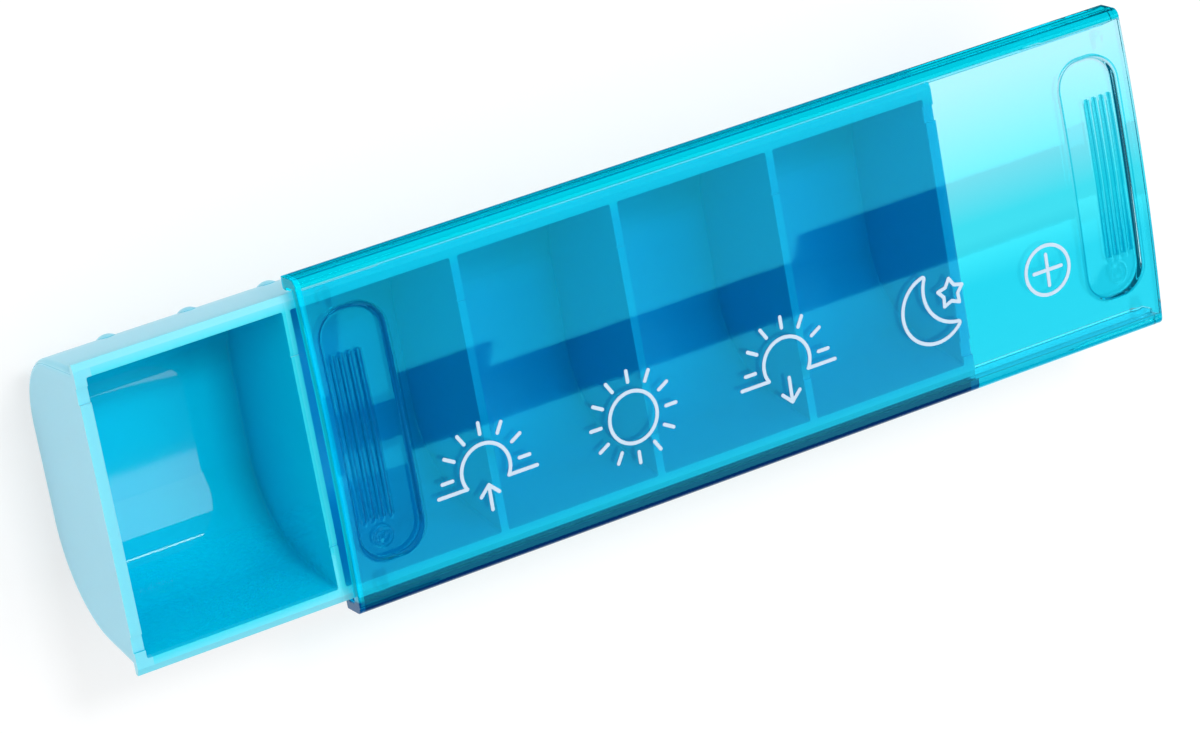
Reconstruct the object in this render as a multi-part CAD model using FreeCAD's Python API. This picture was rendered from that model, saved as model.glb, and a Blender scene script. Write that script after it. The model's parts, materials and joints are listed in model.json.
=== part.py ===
import FreeCAD, Part
import math
import os

# Daily pill organizer: an open tray with five compartments and a clear lid that slides along it.
# X runs along the tray, Y across it with the upright back wall at +Y, Z up from the flat base.
# The origin is the middle of the tray's flat base. The lid stands part open, over the last four
# compartments, and everything is in millimetres.

V = FreeCAD.Vector

# tray
tray_length = 113.6
rim_height = 18.65
end_wall = 1.4
partition = 1.0
first_clear = 24.5
middle_clear = 20.35
middle_count = 3
last_clear = 21.25
end_draft = math.radians(1.75)
partition_draft = math.radians(1.0)
floor_thickness = 1.2
base_front = -4.5
base_back = 7.5
front_radius = 12.6
back_radius = 9.8
front_lean = math.radians(8.0)
back_lean = math.radians(4.5)
inner_front_radius = 10.9
inner_back_radius = 8.6
inner_front_lean = math.radians(12.0)
inner_back_lean = math.radians(5.5)
flange_half = 18.8
flange_thickness = 0.9
flange_bevel = 0.3
flange_land_half = 18.0
corner_radius = 0.9
compartment_fillet = 0.25
notch_middle = 15.0
notch_width = 2.0
notch_depth = 0.3
tick_place = 11.7
tick_width = 0.3
tick_depth = 0.15

# small domed pips in one row along the lower back corner
pip_count = 10
pip_first = 9.0
pip_pitch = 10.25
pip_radius = 1.15
pip_height = 0.4
pip_angle = math.radians(17.0)
pip_root = 0.5

# lid
lid_length = 113.4
lid_half = 20.5
lid_edge_height = 20.15
lid_crown = 0.85
plate = 1.3
rail_wall = 1.25
rail_height = 3.6
lip_half = 18.3
lip_thickness = 1.0
lip_lead = 1.2
rail_outer_radius = 1.0
lip_radius = 0.3
lid_open = 27.3
bump_across = 17.4
bump_inset = 3.3
bump_radius = 1.0
bump_height = 0.12

# thumb grips, measured from the lid's end and from its middle line
grip_near = 2.0
grip_far = 10.5
grip_floor_near = 2.8
grip_floor_far = 8.85
grip_depth = 0.5
grip_half = 15.5
grip_floor_half = 14.7
grip_middle = 0.5
grip_corner = 4.2
rib_first = 3.1
rib_pitch = 1.2
rib_count = 4
rib_width = 0.75
rib_top = 0.3
rib_height = 0.3
rib_root = 0.2
rib_front = -9.9
rib_back = 10.6
gate_inset = 5.4
gate_across = -12.1
gate_radius = 0.6
gate_depth = 0.12
gate_ring_outer = 1.25
gate_ring_inner = 0.95
cutter_over = 0.5

# printed time-of-day symbols, placed from the lid's left end and from its middle line
ink_thickness = 0.08
stroke = 0.45
sun_radius = 3.2
ray_inner = 4.45
ray_outer = 5.8
horizon_drop = 1.6
horizon_reach = 6.55
arrow_top = -1.95
arrow_tail = -5.05
arrow_wing = 1.2
morning_x = 18.6
noon_x = 38.5
evening_x = 59.8
night_x = 80.85
extra_x = 97.5
sun_y = -8.3
moon_y = -8.1
moon_outer_radius = 4.43
moon_inner_radius = 4.68
moon_inner_shift = (3.48, 2.1)
moon_tip_radius = 0.45
star_shift = (2.6, 1.25)
star_outer = 1.83
star_inner = 1.05
extra_radius = 3.15
extra_arm = 2.0

lid_left = -lid_length / 2 + lid_open
crown_radius = (lid_half ** 2 + lid_crown ** 2) / (2 * lid_crown)
crown_centre = lid_edge_height + lid_crown - crown_radius


def arc(centre, radius, start, end):
    """Arc in the YZ plane through a middle point, with its angles in radians."""
    def at(angle):
        return V(0, centre[0] + radius * math.cos(angle), centre[1] + radius * math.sin(angle))
    return Part.Arc(at(start), at((start + end) / 2), at(end)).toShape()


def line(start, end):
    return Part.LineSegment(start, end).toShape()


def path(points):
    """Straight edges through points of the YZ plane."""
    corners = [V(0, y, z) for y, z in points]
    return [line(a, b) for a, b in zip(corners, corners[1:])]


def face_from(edges):
    return Part.Face(Part.Wire(Part.__sortEdges__(edges)))


def trapezoid(left, right, top, bottom, left_inset, right_inset):
    """Prism across the whole width whose ends lean inwards towards the bottom."""
    reach = 2 * lid_half
    corners = [
        V(left, -reach, top),
        V(right, -reach, top),
        V(right - right_inset, -reach, bottom),
        V(left + left_inset, -reach, bottom),
    ]
    wire = Part.makePolygon(corners + [corners[0]])
    return Part.Face(wire).extrude(V(0, 2 * reach, 0))


def outer_profile():
    """Cross-section of the whole tray: flat base, two round corners, walls and rim flanges."""
    front_centre = (base_front, front_radius)
    back_centre = (base_back, back_radius)
    front_end = math.pi + front_lean
    back_end = -back_lean
    front_y = front_centre[0] + front_radius * math.cos(front_end)
    front_z = front_centre[1] + front_radius * math.sin(front_end)
    back_y = back_centre[0] + back_radius * math.cos(back_end)
    back_z = back_centre[1] + back_radius * math.sin(back_end)
    under = rim_height - flange_thickness
    front_top = front_y - (under - front_z) * math.tan(front_lean)
    back_top = back_y + (under - back_z) * math.tan(back_lean)
    rim = [
        (front_y, front_z),
        (front_top, under),
        (-flange_half, under),
        (-flange_half, rim_height - flange_bevel),
        (-flange_land_half, rim_height),
        (flange_land_half, rim_height),
        (flange_half, rim_height - flange_bevel),
        (flange_half, under),
        (back_top, under),
        (back_y, back_z),
    ]
    edges = path(rim)
    edges.append(arc(back_centre, back_radius, back_end, -math.pi / 2))
    edges.append(line(V(0, base_back, 0), V(0, base_front, 0)))
    edges.append(arc(front_centre, front_radius, -math.pi / 2, front_end - 2 * math.pi))
    return face_from(edges)


def inner_profile(top):
    """Cross-section of a compartment, carried up to the height given."""
    front_centre = (base_front, floor_thickness + inner_front_radius)
    back_centre = (base_back, floor_thickness + inner_back_radius)
    front_end = math.pi + inner_front_lean
    back_end = -inner_back_lean
    front_y = front_centre[0] + inner_front_radius * math.cos(front_end)
    front_z = front_centre[1] + inner_front_radius * math.sin(front_end)
    back_y = back_centre[0] + inner_back_radius * math.cos(back_end)
    back_z = back_centre[1] + inner_back_radius * math.sin(back_end)
    mouth = [
        (front_y, front_z),
        (front_y - (top - front_z) * math.tan(inner_front_lean), top),
        (back_y + (top - back_z) * math.tan(inner_back_lean), top),
        (back_y, back_z),
    ]
    edges = path(mouth)
    edges.append(arc(back_centre, inner_back_radius, back_end, -math.pi / 2))
    edges.append(line(V(0, base_back, floor_thickness), V(0, base_front, floor_thickness)))
    edges.append(arc(front_centre, inner_front_radius, -math.pi / 2, front_end - 2 * math.pi))
    return face_from(edges)


def compartments():
    """Left and right side of each compartment at the rim, with its two drafts."""
    widths = [first_clear] + [middle_clear] * middle_count + [last_clear]
    spans = []
    left = -tray_length / 2 + end_wall
    for number, width in enumerate(widths):
        left_draft = end_draft if number == 0 else partition_draft
        right_draft = end_draft if number == len(widths) - 1 else partition_draft
        spans.append((left, left + width, left_draft, right_draft))
        left += width + partition
    return spans


def compartment_core(left, right, left_draft, right_draft):
    """The hollow of one compartment, rounded where its floor and walls meet its ends."""
    over = 1.0
    top = rim_height + over
    depth = top - floor_thickness
    block = inner_profile(top).extrude(V(right - left + 2 * over, 0, 0))
    block.translate(V(left - over, 0, 0))
    wedge = trapezoid(
        left - over * math.tan(left_draft),
        right + over * math.tan(right_draft),
        top,
        floor_thickness - over,
        (depth + over) * math.tan(left_draft),
        (depth + over) * math.tan(right_draft),
    )
    core = block.common(wedge)
    middle = (left + right) / 2
    ends = []
    for edge in core.Edges:
        box = edge.BoundBox
        beside = box.XMin > middle + 1 or box.XMax < middle - 1
        if beside and box.ZMin < rim_height - 0.1:
            ends.append(edge)
    return core.makeFillet(compartment_fillet, ends)


def pips():
    """Low domes standing square to the back corner, each a ball sunk into the wall."""
    ball = (pip_radius ** 2 + pip_height ** 2) / (2 * pip_height)
    reach = back_radius + pip_height - ball
    y = base_back + reach * math.cos(pip_angle)
    z = back_radius - reach * math.sin(pip_angle)
    domes = []
    for number in range(pip_count):
        x = -tray_length / 2 + pip_first + number * pip_pitch
        dome = Part.makeSphere(ball, V(x, y, z))
        outward = V(0, math.cos(pip_angle), -math.sin(pip_angle))
        foot = V(x, y, z) + outward * (ball - pip_height - pip_root)
        cap = Part.makeCylinder(pip_radius, pip_height + 2 * pip_root, foot, outward)
        domes.append(dome.common(cap))
    return domes


def make_tray():
    body = outer_profile().extrude(V(tray_length, 0, 0))
    body.translate(V(-tray_length / 2, 0, 0))
    inset = rim_height * math.tan(end_draft)
    body = body.common(trapezoid(-tray_length / 2, tray_length / 2, rim_height, 0, inset, inset))
    under = rim_height - flange_thickness
    ends = []
    for edge in body.Edges:
        box = edge.BoundBox
        at_end = box.XMin > tray_length / 2 - 1 or box.XMax < 1 - tray_length / 2
        if at_end and box.ZMax < under + 0.01 and box.ZMin < under - 1:
            ends.append(edge)
    body = body.makeFillet(corner_radius, ends)
    for dome in pips():
        body = body.fuse(dome)
    for span in compartments():
        body = body.cut(compartment_core(*span))
    return notch_tops(body)


def notch_tops(body):
    """Shallow notches in the end walls for the lid's bumps, and a tick across each partition."""
    for side in (-1, 1):
        for across in (-notch_middle, notch_middle):
            corner = V(
                side * (tray_length - end_wall) / 2 - end_wall,
                across - notch_width / 2,
                rim_height - notch_depth,
            )
            body = body.cut(Part.makeBox(2 * end_wall, notch_width, 1, corner))
    for left, right, _, _ in compartments()[:-1]:
        for across in (-tick_place, tick_place):
            corner = V(right - 0.1, across - tick_width / 2, rim_height - tick_depth)
            body = body.cut(Part.makeBox(partition + 0.2, tick_width, 1, corner))
    return body.removeSplitter()


def crown_cylinder(radius):
    """Solid bounded by the lid's crown, or by a surface parallel to it."""
    start = V(lid_left - lid_length, 0, crown_centre)
    return Part.makeCylinder(radius, 3 * lid_length, start, V(1, 0, 0))


def crown_arc(radius, half):
    rise = math.sqrt(radius ** 2 - half ** 2)
    left = V(0, -half, crown_centre + rise)
    right = V(0, half, crown_centre + rise)
    return Part.Arc(left, V(0, 0, crown_centre + radius), right).toShape(), left, right


def lid_section():
    """Inverted channel: crowned plate, two rails, and a lip on each that hooks under the rim."""
    bottom = lid_edge_height - rail_height
    inner = lid_half - rail_wall
    top_arc, top_left, top_right = crown_arc(crown_radius, lid_half)
    under_arc, under_left, under_right = crown_arc(crown_radius - plate, inner)
    lip_top = bottom + lip_thickness
    right = [
        (top_right.y, top_right.z),
        (lid_half, bottom),
        (lip_half, bottom),
        (lip_half, lip_top),
        (inner, lip_top),
        (under_right.y, under_right.z),
    ]
    left = [(-y, z) for y, z in right]
    return face_from([top_arc, under_arc] + path(right) + path(left))


def lid_blank():
    blank = lid_section().extrude(V(lid_length, 0, 0))
    blank.translate(V(lid_left, 0, 0))
    bottom = lid_edge_height - rail_height
    for half, radius in ((lid_half, rail_outer_radius), (lip_half, lip_radius)):
        blank = blank.makeFillet(radius, long_edges(blank, half))
    for side in (-1, 1):
        for end in (lid_left, lid_left + lid_length):
            blank = blank.cut(lip_chamfer(end, side, bottom))
    return blank


def long_edges(solid, half):
    """The edges that run the lid's whole length at one distance from its middle line."""
    found = []
    for edge in solid.Edges:
        box = edge.BoundBox
        if box.XLength > lid_length - 1 and abs(abs(box.Center.y) - half) < 0.01:
            found.append(edge)
    return found


def lip_chamfer(end, side, bottom):
    """Lead-in at a lip's end: its inner corner is cut off at an angle."""
    inward = 1 if end == lid_left else -1
    reach = lid_half - rail_wall
    corners = [
        V(end - inward, side * (lip_half - 1), bottom - 1),
        V(end + inward * lip_lead, side * (lip_half - 1), bottom - 1),
        V(end + inward * lip_lead, side * lip_half, bottom - 1),
        V(end, side * reach, bottom - 1),
        V(end - inward, side * reach, bottom - 1),
    ]
    wire = Part.makePolygon(corners + [corners[0]])
    return Part.Face(wire).extrude(V(0, 0, lip_thickness + 1.05))


def turned(section, front, back):
    """Turn a section of the XZ plane about the crown's axis, from one Y to another."""
    start = math.degrees(math.asin(front / crown_radius))
    end = math.degrees(math.asin(back / crown_radius))
    face = Part.Face(Part.makePolygon(section + [section[0]]))
    face.rotate(V(0, 0, crown_centre), V(1, 0, 0), -start)
    return face.revolve(V(0, 0, crown_centre), V(1, 0, 0), start - end)


def grip_cutter(end, inward):
    """Recess that keeps its depth under the crown, with sloping sides and rounded corners."""
    top = crown_centre + crown_radius
    near_slope = (grip_floor_near - grip_near) / grip_depth
    far_slope = (grip_far - grip_floor_far) / grip_depth
    end_slope = (grip_half - grip_floor_half) / grip_depth
    section = [
        V(end + inward * grip_floor_near, 0, top - grip_depth),
        V(end + inward * grip_floor_far, 0, top - grip_depth),
        V(end + inward * (grip_far + far_slope * cutter_over), 0, top + cutter_over),
        V(end + inward * (grip_near - near_slope * cutter_over), 0, top + cutter_over),
    ]
    reach = grip_half + 4 * cutter_over
    slab = turned(section, grip_middle - reach, grip_middle + reach)
    level = top - grip_half ** 2 / (2 * crown_radius)
    low_half = grip_floor_half - end_slope * cutter_over
    high_half = grip_half + end_slope * plate
    side = [
        V(end, grip_middle - low_half, level - grip_depth - cutter_over),
        V(end, grip_middle + low_half, level - grip_depth - cutter_over),
        V(end, grip_middle + high_half, level + plate),
        V(end, grip_middle - high_half, level + plate),
    ]
    block = Part.Face(Part.makePolygon(side + [side[0]])).extrude(V(inward * 2 * grip_far, 0, 0))
    cutter = slab.common(block)
    corners = []
    for edge in cutter.Edges:
        box = edge.BoundBox
        if box.ZLength > grip_depth and box.YLength < grip_depth + 4 * cutter_over:
            corners.append(edge)
    return cutter.makeFillet(grip_corner, corners)


def grip_ribs(end, inward):
    floor = crown_centre + crown_radius - grip_depth
    ribs = []
    for number in range(rib_count):
        middle = end + inward * (rib_first + number * rib_pitch)
        section = [
            V(middle - rib_width / 2, 0, floor - rib_root),
            V(middle + rib_width / 2, 0, floor - rib_root),
            V(middle + rib_width / 2, 0, floor),
            V(middle + rib_top / 2, 0, floor + rib_height),
            V(middle - rib_top / 2, 0, floor + rib_height),
            V(middle - rib_width / 2, 0, floor),
        ]
        ribs.append(turned(section, rib_front, rib_back))
    return ribs


def gate_mark(end, inward):
    """Shallow dimple with a groove round it, where the moulding was filled."""
    x = end + inward * gate_inset
    floor = crown_centre + crown_radius - gate_across ** 2 / (2 * crown_radius) - grip_depth
    ball = (gate_radius ** 2 + gate_depth ** 2) / (2 * gate_depth)
    dimple = Part.makeSphere(ball, V(x, gate_across, floor - gate_depth + ball))
    foot = V(x, gate_across, floor - gate_depth)
    groove = Part.makeCylinder(gate_ring_outer, grip_depth, foot)
    groove = groove.cut(Part.makeCylinder(gate_ring_inner, grip_depth, foot))
    return [dimple, groove]


def lid_bumps():
    """Low bumps under the plate that click into the tray's end walls."""
    ball = (bump_radius ** 2 + bump_height ** 2) / (2 * bump_height)
    under = crown_centre + math.sqrt((crown_radius - plate) ** 2 - bump_across ** 2)
    bumps = []
    for x in (lid_left + bump_inset, lid_left + lid_length - bump_inset):
        for y in (-bump_across, bump_across):
            dome = Part.makeSphere(ball, V(x, y, under - bump_height + ball))
            cap = Part.makeCylinder(bump_radius, 1, V(x, y, under - 0.5))
            bumps.append(dome.common(cap))
    return bumps


def make_lid():
    lid = lid_blank()
    for end, inward in ((lid_left, 1), (lid_left + lid_length, -1)):
        lid = lid.cut(grip_cutter(end, inward))
        for mark in gate_mark(end, inward):
            lid = lid.cut(mark)
        for rib in grip_ribs(end, inward):
            lid = lid.fuse(rib)
    for bump in lid_bumps():
        lid = lid.fuse(bump)
    return lid.removeSplitter()


def flat(shape):
    """Raise a flat outline into a tall prism that passes right through the lid's top."""
    return shape.extrude(V(0, 0, 2 * plate))


def bar(start, end):
    """One printed stroke with round ends."""
    low = lid_edge_height - plate / 2
    a = V(start[0], start[1], low)
    b = V(end[0], end[1], low)
    along = b - a
    along.normalize()
    side = V(-along.y, along.x, 0) * (stroke / 2)
    cap = along * (stroke / 2)
    edges = [
        line(a + side, b + side),
        Part.Arc(b + side, b + cap, b - side).toShape(),
        line(b - side, a - side),
        Part.Arc(a - side, a - cap, a + side).toShape(),
    ]
    return flat(Part.Face(Part.Wire(edges)))


def disc(x, y, radius):
    low = lid_edge_height - plate / 2
    return Part.makeCylinder(radius, 2 * plate, V(x, y, low))


def ring(x, y, radius):
    return disc(x, y, radius + stroke / 2).cut(disc(x, y, radius - stroke / 2))


def rays(x, y, count, step):
    strokes = []
    for number in range(count):
        angle = math.radians(number * step)
        start = (x + ray_inner * math.cos(angle), y + ray_inner * math.sin(angle))
        end = (x + ray_outer * math.cos(angle), y + ray_outer * math.sin(angle))
        strokes.append(bar(start, end))
    return strokes


def half_sun(x, y):
    """Sun standing on a horizon that is broken where the disc meets it."""
    level = y - horizon_drop
    reach = math.sqrt(sun_radius ** 2 - horizon_drop ** 2)
    low = lid_edge_height - plate / 2
    below = Part.makeBox(4 * sun_radius, 2 * sun_radius, 2 * plate)
    below.translate(V(x - 2 * sun_radius, level - 2 * sun_radius, low))
    dome = ring(x, y, sun_radius).cut(below)
    left = bar((x - horizon_reach, level), (x - reach, level))
    right = bar((x + reach, level), (x + horizon_reach, level))
    return [dome.fuse([left, right])] + rays(x, y, 7, 30)


def arrow(x, y, upwards):
    tip = y + (arrow_top if upwards else arrow_tail)
    tail = y + (arrow_tail if upwards else arrow_top)
    back = -arrow_wing if upwards else arrow_wing
    shaft = bar((x, tail), (x, tip))
    wings = [bar((x, tip), (x + side * arrow_wing, tip + back)) for side in (-1, 1)]
    return shaft.fuse(wings)


def moon(x, y):
    """Crescent drawn as an outline: the gap between two discs, with blunt tips."""
    half = stroke / 2
    shift_x, shift_y = moon_inner_shift
    outer = disc(x, y, moon_outer_radius + half)
    outer = outer.cut(disc(x + shift_x, y + shift_y, moon_inner_radius - half))
    tips = [edge for edge in outer.Edges if edge.BoundBox.ZLength > plate and not seam(edge, outer)]
    outer = outer.makeFillet(moon_tip_radius, tips)
    inner = disc(x, y, moon_outer_radius - half)
    inner = inner.cut(disc(x + shift_x, y + shift_y, moon_inner_radius + half))
    return outer.cut(inner)


def seam(edge, solid):
    """True for the joining line of a single round face."""
    owners = [face for face in solid.Faces if any(edge.isSame(other) for other in face.Edges)]
    return len(owners) < 2


def star(x, y):
    """Five-pointed star outline made of ten round-ended strokes."""
    points = []
    for number in range(10):
        radius = star_inner if number % 2 else star_outer
        angle = math.radians(90 + number * 36)
        points.append((x + radius * math.cos(angle), y + radius * math.sin(angle)))
    strokes = [bar(a, b) for a, b in zip(points, points[1:] + points[:1])]
    return strokes[0].fuse(strokes[1:])


def printed(strokes):
    """Keep only the thin skin of ink that lies on the crowned top."""
    skin = crown_cylinder(crown_radius + ink_thickness).cut(crown_cylinder(crown_radius))
    pieces = []
    for stroke_solid in strokes:
        piece = stroke_solid.common(skin).removeSplitter()
        pieces.extend(piece.Solids)
    return Part.makeCompound(pieces)


def symbols():
    def across(x):
        return lid_left + x
    morning = half_sun(across(morning_x), sun_y) + [arrow(across(morning_x), sun_y, True)]
    noon = [ring(across(noon_x), sun_y, sun_radius)] + rays(across(noon_x), sun_y, 12, 30)
    evening = half_sun(across(evening_x), sun_y) + [arrow(across(evening_x), sun_y, False)]
    moon_x = across(night_x)
    night = [moon(moon_x, moon_y), star(moon_x + star_shift[0], moon_y + star_shift[1])]
    plus_x = across(extra_x)
    level = bar((plus_x - extra_arm, sun_y), (plus_x + extra_arm, sun_y))
    upright = bar((plus_x, sun_y - extra_arm), (plus_x, sun_y + extra_arm))
    extra = [ring(plus_x, sun_y, extra_radius), level.fuse(upright)]
    return {
        "morning_symbol": printed(morning),
        "noon_symbol": printed(noon),
        "evening_symbol": printed(evening),
        "night_symbol": printed(night),
        "extra_symbol": printed(extra),
    }


def main():
    os.makedirs("parts", exist_ok=True)
    nodes = {"tray": make_tray(), "lid": make_lid()}
    nodes.update(symbols())
    for name, shape in nodes.items():
        box = shape.BoundBox
        print(name, "valid", shape.isValid(), "solids", len(shape.Solids), "volume", round(shape.Volume, 2))
        print("   box", [round(value, 2) for value in (box.XMin, box.XMax, box.YMin, box.YMax)],
              [round(value, 2) for value in (box.ZMin, box.ZMax)])
        shape.exportStep("parts/" + name + ".step")


main()
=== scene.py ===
import json
import math
import bpy
import numpy as np
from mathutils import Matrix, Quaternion, Vector


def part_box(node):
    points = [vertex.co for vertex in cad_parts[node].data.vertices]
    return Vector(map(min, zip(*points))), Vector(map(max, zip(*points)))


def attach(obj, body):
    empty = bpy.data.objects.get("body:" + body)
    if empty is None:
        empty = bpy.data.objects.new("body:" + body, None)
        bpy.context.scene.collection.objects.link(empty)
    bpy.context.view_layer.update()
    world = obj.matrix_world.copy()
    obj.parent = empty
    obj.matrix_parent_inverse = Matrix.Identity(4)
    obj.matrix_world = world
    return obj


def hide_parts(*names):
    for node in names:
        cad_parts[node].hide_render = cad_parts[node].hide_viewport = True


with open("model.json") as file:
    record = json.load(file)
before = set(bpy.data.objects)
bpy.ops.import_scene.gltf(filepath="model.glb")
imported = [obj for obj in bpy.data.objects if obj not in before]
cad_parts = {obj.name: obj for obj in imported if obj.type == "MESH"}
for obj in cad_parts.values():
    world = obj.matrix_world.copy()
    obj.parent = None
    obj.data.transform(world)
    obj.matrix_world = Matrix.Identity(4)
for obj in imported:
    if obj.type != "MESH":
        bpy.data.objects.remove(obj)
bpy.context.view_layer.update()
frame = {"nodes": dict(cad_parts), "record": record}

nodes = frame["nodes"]
mm = 0.001


# camera
cameraValues = {
    "aim": (7.4, -2.1, 18.0),  # mm, the point in the middle of the picture
    "distance": 594.9,
    "azimuth": -127.60,
    "elevation": 58.38,
    "roll": 112.86,
    "lens": 152.4,  # mm, with the sensor's width
    "sensor": 36,
    "clip": (0.05, 50),  # metres
}


def addCamera(values):
    azimuth = math.radians(values["azimuth"])
    elevation = math.radians(values["elevation"])
    back = Vector((
        math.sin(azimuth) * math.cos(elevation),
        -math.cos(azimuth) * math.cos(elevation),
        math.sin(elevation),
    ))
    data = bpy.data.cameras.new("camera")
    data.lens = values["lens"]
    data.sensor_width = values["sensor"]
    data.clip_start, data.clip_end = values["clip"]
    camera = bpy.data.objects.new("camera", data)
    bpy.context.collection.objects.link(camera)
    camera.rotation_mode = "QUATERNION"
    camera.location = Vector(values["aim"]) * mm + back * values["distance"] * mm
    roll = Quaternion((0, 0, 1), math.radians(values["roll"]))
    camera.rotation_quaternion = (-back).to_track_quat("-Z", "Y") @ roll
    bpy.context.scene.camera = camera


addCamera(cameraValues)
print("camera", cameraValues["lens"], "mm lens")


# shader helpers
def newMaterial(name):
    material = bpy.data.materials.new(name)
    material.use_nodes = True
    material.node_tree.nodes.clear()
    return material, material.node_tree


def addNode(tree, kind, x=0, y=0, **settings):
    node = tree.nodes.new(kind)
    node.location = (x, y)
    for key, value in settings.items():
        setattr(node, key, value)
    return node


def mathNode(tree, operation, first, second, x=0, y=0):
    node = addNode(tree, "ShaderNodeMath", x, y, operation=operation)
    for socket, value in zip(node.inputs, (first, second)):
        if isinstance(value, (int, float)):
            socket.default_value = value
        else:
            tree.links.new(value, socket)
    return node.outputs[0]


# 0 up to the start, then rising to 1 over the width
def risingFrom(tree, value, start, width, x, y):
    rise = mathNode(tree, "SUBTRACT", value, start, x, y)
    rise = mathNode(tree, "DIVIDE", rise, width, x + 100, y)
    rise = mathNode(tree, "MINIMUM", rise, 1, x + 200, y)
    return mathNode(tree, "MAXIMUM", rise, 0, x + 300, y)


# from one plain colour to another
def mixColours(tree, factor, low, high, x=-500, y=200):
    mix = addNode(tree, "ShaderNodeMix", x, y, data_type="RGBA")
    mix.inputs["A"].default_value = (*low, 1)
    mix.inputs["B"].default_value = (*high, 1)
    tree.links.new(factor, mix.inputs["Factor"])
    return mix.outputs["Result"]


# from a colour that varies already to a plain one
def mixInto(tree, factor, colour, high, x, y):
    mix = addNode(tree, "ShaderNodeMix", x, y, data_type="RGBA")
    mix.inputs["B"].default_value = (*high, 1)
    tree.links.new(factor, mix.inputs["Factor"])
    tree.links.new(colour, mix.inputs["A"])
    return mix.outputs["Result"]


# moulded plastic: a cloudy mottle, fine hairline marks and a soft ripple from the mould
surfaceValues = {
    "cloudDetail": 3,
    "rippleDetail": 1,
    "markDetail": 5,
    "markRoughness": 0.7,
    "markStretch": (0.06, 1.0, 1.0),  # hairlines run along the part
    "markTurn": 7,  # degrees
}


def buildMouldedSurface(values):
    group = bpy.data.node_groups.new("mouldedSurface", "ShaderNodeTree")
    face = group.interface
    face.new_socket("Vector", in_out="INPUT", socket_type="NodeSocketVector")
    for name in ("Cloud Scale", "Ripple Scale", "Mark Scale", "Roughness", "Roughness Spread"):
        face.new_socket(name, in_out="INPUT", socket_type="NodeSocketFloat")
    for name in ("Mottle", "Roughness", "Height"):
        face.new_socket(name, in_out="OUTPUT", socket_type="NodeSocketFloat")
    start = addNode(group, "NodeGroupInput", -900, 0)
    end = addNode(group, "NodeGroupOutput", 600, 0)
    cloud = addNode(group, "ShaderNodeTexNoise", -600, 200)
    cloud.inputs["Detail"].default_value = values["cloudDetail"]
    ripple = addNode(group, "ShaderNodeTexNoise", -600, -50)
    ripple.inputs["Detail"].default_value = values["rippleDetail"]
    stretch = addNode(group, "ShaderNodeMapping", -750, -300)
    stretch.inputs["Scale"].default_value = values["markStretch"]
    stretch.inputs["Rotation"].default_value = (0, 0, math.radians(values["markTurn"]))
    marks = addNode(group, "ShaderNodeTexNoise", -600, -300)
    marks.inputs["Detail"].default_value = values["markDetail"]
    marks.inputs["Roughness"].default_value = values["markRoughness"]
    group.links.new(start.outputs["Vector"], cloud.inputs["Vector"])
    group.links.new(start.outputs["Vector"], ripple.inputs["Vector"])
    group.links.new(start.outputs["Vector"], stretch.inputs["Vector"])
    group.links.new(stretch.outputs["Vector"], marks.inputs["Vector"])
    group.links.new(start.outputs["Cloud Scale"], cloud.inputs["Scale"])
    group.links.new(start.outputs["Ripple Scale"], ripple.inputs["Scale"])
    group.links.new(start.outputs["Mark Scale"], marks.inputs["Scale"])
    spread = mathNode(group, "SUBTRACT", marks.outputs["Fac"], 0.5, -300, -300)
    spread = mathNode(group, "MULTIPLY", spread, start.outputs["Roughness Spread"], -150, -300)
    rough = mathNode(group, "ADD", spread, start.outputs["Roughness"], 0, -300)
    group.links.new(cloud.outputs["Fac"], end.inputs["Mottle"])
    group.links.new(rough, end.inputs["Roughness"])
    group.links.new(ripple.outputs["Fac"], end.inputs["Height"])
    return group


mouldedSurface = buildMouldedSurface(surfaceValues)


# feeds one shader's Roughness and Normal from the moulded surface
def placeMoulded(tree, shader, values):
    place = addNode(tree, "ShaderNodeTexCoord", -1100, 0)
    moulded = addNode(tree, "ShaderNodeGroup", -850, 0, node_tree=mouldedSurface)
    moulded.inputs["Cloud Scale"].default_value = values["cloudScale"]
    moulded.inputs["Ripple Scale"].default_value = values["rippleScale"]
    moulded.inputs["Mark Scale"].default_value = values["markScale"]
    moulded.inputs["Roughness"].default_value = values["roughness"]
    moulded.inputs["Roughness Spread"].default_value = values["roughnessSpread"]
    bump = addNode(tree, "ShaderNodeBump", -550, -300)
    bump.inputs["Strength"].default_value = values["rippleStrength"]
    bump.inputs["Distance"].default_value = values["rippleDepth"]
    tree.links.new(place.outputs["Object"], moulded.inputs["Vector"])
    tree.links.new(moulded.outputs["Roughness"], shader.inputs["Roughness"])
    tree.links.new(moulded.outputs["Height"], bump.inputs["Height"])
    tree.links.new(bump.outputs["Normal"], shader.inputs["Normal"])
    return moulded


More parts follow.
